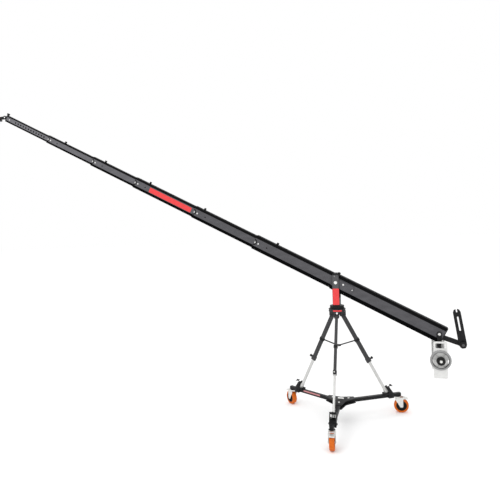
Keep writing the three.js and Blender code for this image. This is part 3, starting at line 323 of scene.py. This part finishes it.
for i in range(BEAM_COUNT):
    FINISH[f"beam_{i}"] = beam_finish(i)


# CAD nodes: softened edges and their finishes
WELD_REACH = 0.00001
EDGE_WIDTH = 0.0006
EDGE_SEGMENTS = 2
EDGE_ANGLE = math.radians(32)


def soften(node):
    mesh = node.data
    mesh.polygons.foreach_set("use_smooth", [True] * len(mesh.polygons))
    weld = node.modifiers.new("weld", "WELD")
    weld.merge_threshold = WELD_REACH
    bevel = node.modifiers.new("bevel", "BEVEL")
    bevel.width = EDGE_WIDTH
    bevel.segments = EDGE_SEGMENTS
    bevel.limit_method = "ANGLE"
    bevel.angle_limit = EDGE_ANGLE
    bevel.harden_normals = True


def dress(node, finish):
    mesh = node.data
    mesh.materials.clear()
    mesh.materials.append(FINISH[finish])


NODE_FINISH = {
    "rear_bar": "black_alloy", "tip_cap": "black_alloy", "tip_arm": "black_alloy",
    "tip_knob": "black_plastic", "monitor_bracket": "black_alloy", "monitor_knob": "black_plastic",
    "hanger_clevis": "black_paint", "hanger_plate_near": "pale_plate", "hanger_plate_far": "pale_plate",
    "weight_rod": "zinc", "grip_disc": "disc_iron", "rod_collar": "black_plastic",
    # The yoke is dressed black, with grey plates on its outer faces; the black of its inner sides is painted
    # shade.
    "yoke": "black_alloy", "pan_base": "black_alloy", "crown": "dark_alloy",
    "spreader": "black_alloy", "dolly_frame": "black_alloy",
}
for i, node in enumerate(BEAM_NODES):
    NODE_FINISH[node] = f"beam_{i}"
for i in range(1, BEAM_COUNT):
    NODE_FINISH[f"lock_knob_{i}"] = "black_plastic"
for k in range(1, 4):
    NODE_FINISH.update({
        f"weight_disc_{k}": "iron", f"leg_upper_{k}": "leg_alloy", f"leg_lower_{k}": "silver_alloy",
        f"leg_knob_{k}": "black_plastic", f"foot_clamp_{k}": "black_alloy",
        f"foot_lever_{k}": "black_alloy", f"caster_fork_{k}": "zinc", f"rim_{k}": "black_plastic",
        f"tyre_{k}": "orange_tyre", f"brake_pedal_{k}": "zinc",
    })
for name, finish in NODE_FINISH.items():
    dress(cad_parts[name], finish)
    soften(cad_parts[name])


# Ways to make the fittings that the solids leave out
SHARP_ANGLE = math.radians(35)
STEEP = 0.9
FASTENER_SEGMENTS = 24
CORNER_STEPS = 4
PLATE_EDGE_SHARE, RING_EDGE_SHARE = 0.3, 0.15


def link(obj):
    bpy.context.scene.collection.objects.link(obj)


def add_piece(name, verts, faces, finish, body, bevel=0.0):
    """A fitting on the body that carries it."""
    mesh = bpy.data.meshes.new(name)
    mesh.from_pydata(verts, [], faces)
    mesh.materials.append(FINISH[finish])
    mesh.polygons.foreach_set("use_smooth", [True] * len(mesh.polygons))
    mesh.set_sharp_from_angle(angle=SHARP_ANGLE)
    obj = bpy.data.objects.new(name, mesh)
    link(obj)
    if bevel:
        edge = obj.modifiers.new("bevel", "BEVEL")
        edge.width = bevel
        edge.segments = EDGE_SEGMENTS
        edge.limit_method = "ANGLE"
    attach(obj, body)
    return obj


def basis(axis):
    """Two directions square to an axis, and the axis."""
    axis = axis.normalized()
    helper = UP if abs(axis.z) < STEEP else RIGHT
    first = helper.cross(axis).normalized()
    return first, axis.cross(first), axis


def bearing(axis, direction):
    """The angle at which a piece turned on an axis faces a direction."""
    first, second, _ = basis(axis)
    return math.atan2(direction.dot(second), direction.dot(first))


def lathe(name, origin, axis, profile, finish, body, segments, closed=False, start=0.0, sweep=None):
    """A turned piece from (radius, height) pairs; closed joins the last pair to the first."""
    first, second, up = basis(axis)
    whole = sweep is None
    columns = segments if whole else segments + 1
    verts, rows = [], []
    for radius, height in profile:
        if radius == 0:
            rows.append([len(verts)] * columns)
            verts.append(origin + up * height)
            continue
        rows.append(list(range(len(verts), len(verts) + columns)))
        for j in range(columns):
            angle = start + (math.tau if whole else sweep) * j / segments
            around = first * math.cos(angle) + second * math.sin(angle)
            verts.append(origin + up * height + around * radius)
    faces = []
    pairs = list(zip(rows, rows[1:])) + ([(rows[-1], rows[0])] if closed else [])
    for low, high in pairs:
        for j in range(segments):
            after = (j + 1) % columns
            face = list(dict.fromkeys([low[j], low[after], high[after], high[j]]))
            if len(face) > 2:
                faces.append(face)
    if not whole and closed:
        faces += [[row[0] for row in reversed(rows)], [row[-1] for row in rows]]
    return add_piece(name, verts, faces, finish, body)


def screw(name, origin, axis, radius, height, finish, body):
    """A cap screw with a round socket in its head."""
    profile = [(0, height * 0.4), (radius * 0.42, height * 0.4), (radius * 0.45, height * 0.97),
               (radius * 0.52, height), (radius * 0.82, height), (radius, height * 0.65),
               (radius, 0), (0, 0)]
    return lathe(name, origin, axis, profile, finish, body, FASTENER_SEGMENTS)


def button(name, origin, axis, radius, height, finish, body):
    """A low domed button."""
    dome = [(radius * math.sin(a), height * math.cos(a)) for a in (0.4, 0.8, 1.15, 1.4)]
    profile = [(0, height)] + dome + [(radius, 0), (0, 0)]
    return lathe(name, origin, axis, profile, finish, body, FASTENER_SEGMENTS)


def rounded(width, height, radius):
    """The outline of a rectangle with rounded corners."""
    points = []
    for cx, cy, turn in ((1, -1, -90), (1, 1, 0), (-1, 1, 90), (-1, -1, 180)):
        for j in range(CORNER_STEPS + 1):
            angle = math.radians(turn + 90 * j / CORNER_STEPS)
            points.append((cx * (width / 2 - radius) + radius * math.cos(angle),
                           cy * (height / 2 - radius) + radius * math.sin(angle)))
    return points


def prism_faces(count):
    """Two end faces and the walls between two rings of points."""
    faces = [list(reversed(range(count))), list(range(count, count * 2))]
    for j in range(count):
        after = (j + 1) % count
        faces.append([j, after, count + after, count + j])
    return faces


def plate(name, centre, right, up, size, finish, body):
    """A rounded plate with its back at the centre; the size is its width, height, thickness and corner."""
    width, height, thickness, corner = size
    right, up = right.normalized(), up.normalized()
    out = right.cross(up)
    ring = rounded(width, height, corner)
    verts = [centre + right * x + up * y + out * h for h in (0, thickness) for x, y in ring]
    return add_piece(name, verts, prism_faces(len(ring)), finish, body,
                     bevel=thickness * PLATE_EDGE_SHARE)


def frame_ring(name, centre, right, up, outer, inner, thickness, finish, body):
    """A flat ring between two rounded rectangles, each (width, height, corner)."""
    right, up = right.normalized(), up.normalized()
    out = right.cross(up)
    rings = [rounded(*outer), rounded(*inner)]
    count = len(rings[0])
    verts = [centre + right * x + up * y + out * h
             for h in (0, thickness) for ring in rings for x, y in ring]
    faces = []
    for j in range(count):
        after = (j + 1) % count
        faces += [[j, after, count + after, count + j][::-1],
                  [count * 2 + j, count * 2 + after, count * 3 + after, count * 3 + j],
                  [j, after, count * 2 + after, count * 2 + j],
                  [count + j, count + after, count * 3 + after, count * 3 + j][::-1]]
    return add_piece(name, verts, faces, finish, body, bevel=thickness * RING_EDGE_SHARE)


# Fittings of the boom
def mouth_fittings(i, side, tag):
    """The pad in the notch of a beam's mouth with a white button painted as its highlight, a dark half ring
    painted as shade on the notch's edge, a screw and a plug.
    """
    body = BEAM_BODIES[i]
    front = BEAM_FRONTS[i]
    mark = f"{i + 1}_{tag}"
    out = Vector((0, side, 0))
    web = side * web_face(i)
    span = min(NOTCH_SPAN, BEAM_HEIGHTS[i] / 4)

    pad_gap, highlight_height, highlight_shift = 0.0004, 0.0021, 0.006
    pad = [(0, 0.0022), (span * 0.58, 0.0022), (span * 0.66, 0.0012), (span * 0.66, 0), (0, 0)]
    middle = boom_point(front + span * 0.72, side * (web_face(i + 1) + pad_gap), 0)
    lathe(f"guide_pad_{mark}", middle, out, pad, "grey_nylon", body, 28)
    # A white button on the pad, painted as the pad's highlight.
    button(f"guide_pad_highlight_{mark}", middle + out * highlight_height - REAR * highlight_shift, out,
           radius=0.0052, height=0.0010, finish="white_nylon", body=body)

    # A dark half ring round the notch, painted as shade on the notch's edge.
    rim = [(span * 0.98, 0.0001), (span * 0.98, 0.0006), (span * 1.38, 0.0006), (span * 1.40, 0.0001)]
    lathe(f"notch_edge_shade_{mark}", boom_point(front, web, 0), out, rim, "dark_hole_and_shade", body, 24,
          closed=True, start=bearing(out, REAR) - math.pi / 2, sweep=math.pi)

    screw_reach, plug_reach = 0.051, 0.152
    screw(f"guide_screw_{mark}", boom_point(front + screw_reach, web, 0), out,
          radius=0.0078, height=0.0028, finish="white_nylon", body=body)
    plug = [(0, 0.0001), (0.0045, 0.0001), (0.0055, 0.0003), (0.0064, 0.0002), (0.0066, 0), (0, 0)]
    lathe(f"web_plug_{mark}", boom_point(front + plug_reach, web, 0), out, plug, "dark_hole_and_shade", body,
          20)


def stop_hole_bushes(side, tag):
    """Dark cups in the row of stop holes of the tip section."""
    count, first_along, spacing = 12, -4.324, 0.0415
    cup = [(0, -0.0018), (0.0036, -0.0018), (0.0037, 0.0003), (0.0098, 0.0003), (0.0101, 0.0001),
           (0.0036, -0.0020), (0, -0.0020)]
    for j in range(count):
        place = boom_point(first_along + spacing * j, side * web_face(TIP_BEAM), 0)
        lathe(f"stop_hole_bush_{j + 1}_{tag}", place, Vector((0, side, 0)), cup, "dark_hole_and_shade",
              "boom_section_6", 16)


def pivot_fittings(side, tag):
    """Screws of the trunnion plate, the cap over the journal and the head of the hanger's bolt."""
    out = Vector((0, side, 0))
    screws = ((0.076, 0.014, 0.0085), (0.178, 0.004, 0.0055))
    for j, (along, above, radius) in enumerate(screws):
        screw(f"trunnion_screw_{j + 1}_{tag}", boom_point(along, side * TRUNNION_HALF, above), out,
              radius=radius, height=0.005, finish="white_nylon", body="main_boom")
    cap = [(0, 0.0020), (0.0055, 0.0020), (0.0062, 0.0045), (0.0125, 0.0045), (0.0155, 0.0025),
           (0.0160, 0), (0, 0)]
    lathe(f"pivot_cap_{tag}", boom_point(0, side * YOKE_HALF, 0), out, cap, "white_nylon", "main_boom",
          32)
    screw(f"hanger_bolt_{tag}", boom_point(HANGER_REACH, side * CLEVIS_HALF, 0), out,
          radius=0.0120, height=0.004, finish="zinc", body="main_boom")


def tip_screws(side, tag):
    """Two low buttons in the tip section's web, in front of its row of holes."""
    out = Vector((0, side, 0))
    cap_reach, plug_reach = -4.508, -4.426
    button(f"tip_screw_{tag}", boom_point(cap_reach, side * (BEAM_WIDTHS[TIP_BEAM] / 2), 0), out,
           radius=0.0085, height=0.003, finish="white_nylon", body="boom_section_6")
    button(f"tip_plug_screw_{tag}", boom_point(plug_reach, side * web_face(TIP_BEAM), 0), out,
           radius=0.0065, height=0.0003, finish="white_nylon", body="boom_section_6")


def boom_fittings():
    """The fittings at each beam's mouth, at the pivot and at the tip, and a bare label."""
    for i in range(TIP_BEAM):
        for side, tag in SIDES:
            mouth_fittings(i, side, tag)
    for side, tag in SIDES:
        stop_hole_bushes(side, tag)
        pivot_fittings(side, tag)
        tip_screws(side, tag)
    label_along = -2.020
    plate("section_label", boom_point(label_along, -web_face(LABEL_BEAM), 0), REAR, NORMAL,
          (0.556, 0.054, 0.0003, 0.004), "red", "boom_section_3")


# Fittings of the head and the legs
def head_fittings():
    """Bare plates, among them grey faces that leave the yoke's black sides as painted shade, a screw on the
    yoke, and the band round the crown.
    """
    plate("yoke_plate", AXIS + Vector((0, -YOKE_HALF, 1.279)), RIGHT, UP, (0.064, 0.164, 0.0012, 0.004),
          "red", "yoke")
    face_thickness, face_height = 0.0008, 1.4285
    for side, tag in SIDES:
        place = AXIS + Vector((0, side * YOKE_HALF, face_height))
        plate(f"yoke_face_{tag}", place, RIGHT * -side, UP, (0.063, 0.133, face_thickness, 0.008),
              "grey_alloy", "yoke")
    screw("yoke_top_screw", AXIS + Vector((-0.010, -YOKE_HALF - face_thickness, 1.485)), NEAR,
          radius=0.0060, height=0.003, finish="iron", body="yoke")

    band_drop = 0.015
    band_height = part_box("crown")[1].z - band_drop
    band = [(0.0832, -0.0068), (0.0852, -0.0064), (0.0852, 0.0064), (0.0832, 0.0068)]
    lathe("crown_band", AXIS + UP * band_height, UP, band, "red", "base", 40, closed=True,
          start=bearing(UP, NEAR) - math.radians(21), sweep=math.radians(60))


def leg_fittings(k):
    """Hinge bolts, the window of the collar and the cap of the lock knob."""
    hinge_half, collar_down, knob_down, knob_out = 0.0223, 0.5835, 0.560, 0.0545
    across = arm_across(k)
    for side, tag in PAIR:
        screw(f"hinge_bolt_{k + 1}_{tag}", arm_point(k, HINGE_REACH, side * hinge_half, HINGE_HEIGHT),
              across * side, radius=0.0095, height=0.005, finish="dark_alloy", body="base")
    out = leg_point(k, 0, 1) - leg_point(k, 0, 0)
    frame_ring(f"collar_ring_{k + 1}", leg_point(k, collar_down), out, across,
               outer=(0.0525, 0.0365, 0.010), inner=(0.0330, 0.0220, 0.0065), thickness=0.005,
               finish="silver_alloy", body="base")
    button(f"leg_knob_cap_{k + 1}", leg_point(k, knob_down, knob_out), out,
           radius=0.0062, height=0.0016, finish="zinc", body=f"leg_lock_{k + 1}")


# Fittings of the dolly and its casters
def arm_fittings(k):
    """The plug in an arm's end, a bolt of the hub and the upper race of a caster's swivel."""
    plug_reach, bolt_reach, bolt_height, swivel_reach, race_height = 0.677, 0.093, 0.2135, 0.643, 0.1645
    plate(f"arm_plug_{k + 1}", arm_point(k, plug_reach, 0, ARM_HEIGHT), arm_across(k), UP,
          (0.034, 0.034, 0.003, 0.004), "black_plastic", "base")
    screw(f"hub_bolt_{k + 1}", arm_point(k, bolt_reach, 0, bolt_height), UP,
          radius=0.0095, height=0.006, finish="white_nylon", body="base")
    race = [(0.0303, 0.0002), (0.0318, 0.0002), (0.0324, 0.0012), (0.0324, 0.0052), (0.0316, 0.0062),
            (0.0303, 0.0062)]
    lathe(f"swivel_race_{k + 1}", arm_point(k, swivel_reach, 0, race_height), UP, race, "zinc", "base",
          40, closed=True)


def dolly_fittings():
    """The fittings of each arm, the hub's pad and an arm's bare label."""
    for k in range(3):
        arm_fittings(k)
    plate("hub_pad", AXIS + Vector((0.006, 0.020, 0.2152)), RIGHT, BACK, (0.060, 0.024, 0.007, 0.003),
          "white_nylon", "base")
    angle = LEG_ANGLES[LABEL_ARM]
    along = Vector((-math.cos(angle), -math.sin(angle), 0))
    plate("arm_label", arm_point(LABEL_ARM, 0.3615, 0.0175, 0.1975), along, UP,
          (0.229, 0.015, 0.0005, 0.002), "pink", "base")


def mirrored(profile, middle=()):
    """A turned profile, what lies in its middle plane, and its reflection."""
    return profile + list(middle) + [(radius, -height) for radius, height in reversed(profile)]


TREAD = mirrored([
    (0.0540, -0.0240), (0.0600, -0.0240), (0.0608, -0.0234), (0.0616, -0.0240), (0.0680, -0.0238),
    (0.0712, -0.0222), (0.0735, -0.0180), (0.0747, -0.0110)], middle=[(0.0750, 0)])
WHEEL_RIM = mirrored([
    (0.0063, -0.0210), (0.0110, -0.0210), (0.0118, -0.0202), (0.0190, -0.0202), (0.0200, -0.0190),
    (0.0206, -0.0100), (0.0222, -0.0066), (0.0260, -0.0060), (0.0410, -0.0060), (0.0446, -0.0070),
    (0.0468, -0.0110), (0.0492, -0.0198), (0.0500, -0.0210), (0.0537, -0.0210)])
WEIGHT = mirrored([
    (0.0129, -0.0410), (0.0190, -0.0410), (0.0200, -0.0398), (0.0480, -0.0398), (0.0492, -0.0410),
    (0.0565, -0.0410), (0.0592, -0.0394), (0.0600, -0.0365)])
CHEEK = [(-0.066, 0.075), (-0.017, -0.007), (-0.012, -0.015), (0.010, -0.016), (0.017, -0.008),
         (0.017, 0.075)]
CHEEK_INSIDE, CHEEK_OUTSIDE = 0.0320, 0.0332
CHEEK_EDGE = 0.0004


def fork_cheek(k, side, tag, centre, axis, trail):
    """The pressed side of a caster's fork, from its swivel down past the axle."""
    skin = [centre + axis * side * h + trail * x + UP * z
            for h in (CHEEK_INSIDE, CHEEK_OUTSIDE) for x, z in CHEEK]
    faces = prism_faces(len(CHEEK))
    if side > 0:
        faces = [face[::-1] for face in faces]
    add_piece(f"fork_side_{k + 1}_{tag}", skin, faces, "zinc", f"caster_{k + 1}", bevel=CHEEK_EDGE)


def wheel_fittings(k):
    """Fork cheeks, and the turned tread and rim in place of the plain solids."""
    heading = FORK_HEADINGS[k]
    centre = middle_of(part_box(f"tyre_{k + 1}"))
    axis = Vector((-math.sin(heading), math.cos(heading), 0))
    trail = Vector((math.cos(heading), math.sin(heading), 0))
    for side, tag in PAIR:
        fork_cheek(k, side, tag, centre, axis, trail)
    body = f"wheel_{k + 1}"
    tread = lathe(f"tread_{k + 1}", centre, axis, TREAD, "orange_tyre", body, 96, closed=True)
    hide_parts(f"tyre_{k + 1}")
    rim = lathe(f"wheel_rim_{k + 1}", centre, axis, WHEEL_RIM, "black_plastic", body, 72,
                closed=True)
    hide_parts(f"rim_{k + 1}")


# Fittings of the tail
def tail_fittings():
    """Turned weights in place of the plain solids, and the cap of the monitor knob."""
    for k in range(1, 4):
        piece = lathe(f"disc_{k}", middle_of(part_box(f"weight_disc_{k}")), NEAR, WEIGHT, "iron",
                      "weight_hanger", 72, closed=True)
        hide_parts(f"weight_disc_{k}")
    low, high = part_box("monitor_knob")
    knob_face = Vector(((low.x + high.x) / 2, low.y, (low.z + high.z) / 2))
    screw("monitor_knob_cap", knob_face, NEAR, radius=0.012, height=0.0030, finish="grey_alloy",
          body="monitor_knob")


boom_fittings()
head_fittings()
for k in range(3):
    leg_fittings(k)
dolly_fittings()
for k in range(3):
    wheel_fittings(k)
tail_fittings()


# Camera at the photograph's angle
PHOTO_WIDTH = 500
FOCAL_PIXELS = 472
MIDDLE_SHIFT_PIXELS = 3.4
SENSOR_WIDTH = 36
CLIP_END = 200
CAMERA_PLACE = Vector((0.6015, -4.7845, 1.9923))


def set_camera():
    yaw, pitch, roll = 0.304, 0.052, 0.042
    side = Vector((math.cos(yaw), math.sin(yaw), 0))
    ahead = Vector((-math.sin(yaw), math.cos(yaw), 0))
    look = ahead * math.cos(pitch) - UP * math.sin(pitch)
    rise = ahead * math.sin(pitch) + UP * math.cos(pitch)
    right = side * math.cos(roll) - rise * math.sin(roll)
    up = side * math.sin(roll) + rise * math.cos(roll)
    data = bpy.data.cameras.new("camera")
    data.sensor_width = SENSOR_WIDTH
    data.lens = FOCAL_PIXELS / PHOTO_WIDTH * SENSOR_WIDTH
    data.shift_y = MIDDLE_SHIFT_PIXELS / PHOTO_WIDTH
    data.clip_end = CLIP_END
    camera = bpy.data.objects.new("camera", data)
    link(camera)
    turn = Matrix((right, up, -look)).transposed().to_4x4()
    camera.matrix_world = Matrix.Translation(AXIS + CAMERA_PLACE) @ turn
    bpy.context.scene.camera = camera


# Floor, white surroundings and soft lamps
FLOOR_REACH = 60
LIGHT_LEVEL, SHOWN_LEVEL = 1.02, 1.0
LAMP_AIM = Vector((0.5, 0.2, 1.4))
LAMPS = (
    ("key", (-1.5, -5.0, 6.5), 4.0, 110),
    ("fill", (5.5, -4.0, 4.0), 3.0, 30),
    ("top", (-1.0, 0.5, 8.0), 5.0, 60),
)


def set_floor():
    mesh = bpy.data.meshes.new("floor")
    corners = [(-1, -1), (1, -1), (1, 1), (-1, 1)]
    mesh.from_pydata([(x * FLOOR_REACH, y * FLOOR_REACH, 0) for x, y in corners], [], [(0, 1, 2, 3)])
    floor = bpy.data.objects.new("floor", mesh)
    link(floor)
    mesh.materials.append(shade("floor", (0.99, 0.99, 0.99), rough=0.9, spread=0.005, grain=2, specular=0.0))


def set_world():
    """White surroundings, which the camera and reflections see at a plain level."""
    world = bpy.data.worlds.new("world")
    world.use_nodes = True
    bpy.context.scene.world = world
    tree = world.node_tree
    back = tree.nodes["Background"]
    back.inputs["Color"].default_value = (1, 1, 1, 1)
    path = tree.nodes.new("ShaderNodeLightPath")
    seen = path.outputs["Is Camera Ray"]
    for ray in ("Is Glossy Ray", "Is Transmission Ray"):
        either = tree.nodes.new("ShaderNodeMath")
        either.operation = "MAXIMUM"
        tree.links.new(seen, either.inputs[0])
        tree.links.new(path.outputs[ray], either.inputs[1])
        seen = either.outputs[0]
    level = tree.nodes.new("ShaderNodeMix")
    share, light, shown = level.inputs[0], level.inputs[2], level.inputs[3]
    tree.links.new(seen, share)
    light.default_value = LIGHT_LEVEL
    shown.default_value = SHOWN_LEVEL
    tree.links.new(level.outputs[0], back.inputs["Strength"])


def set_lamps():
    for name, place, size, power in LAMPS:
        data = bpy.data.lights.new(name, "AREA")
        data.size = size
        data.energy = power
        lamp = bpy.data.objects.new(name, data)
        lamp.location = place
        aim = LAMP_AIM - Vector(place)
        lamp.rotation_mode = "QUATERNION"
        lamp.rotation_quaternion = aim.to_track_quat("-Z", "Y")
        link(lamp)


set_camera()
set_floor()
set_world()
set_lamps()
bpy.context.scene.view_settings.view_transform = "Standard"
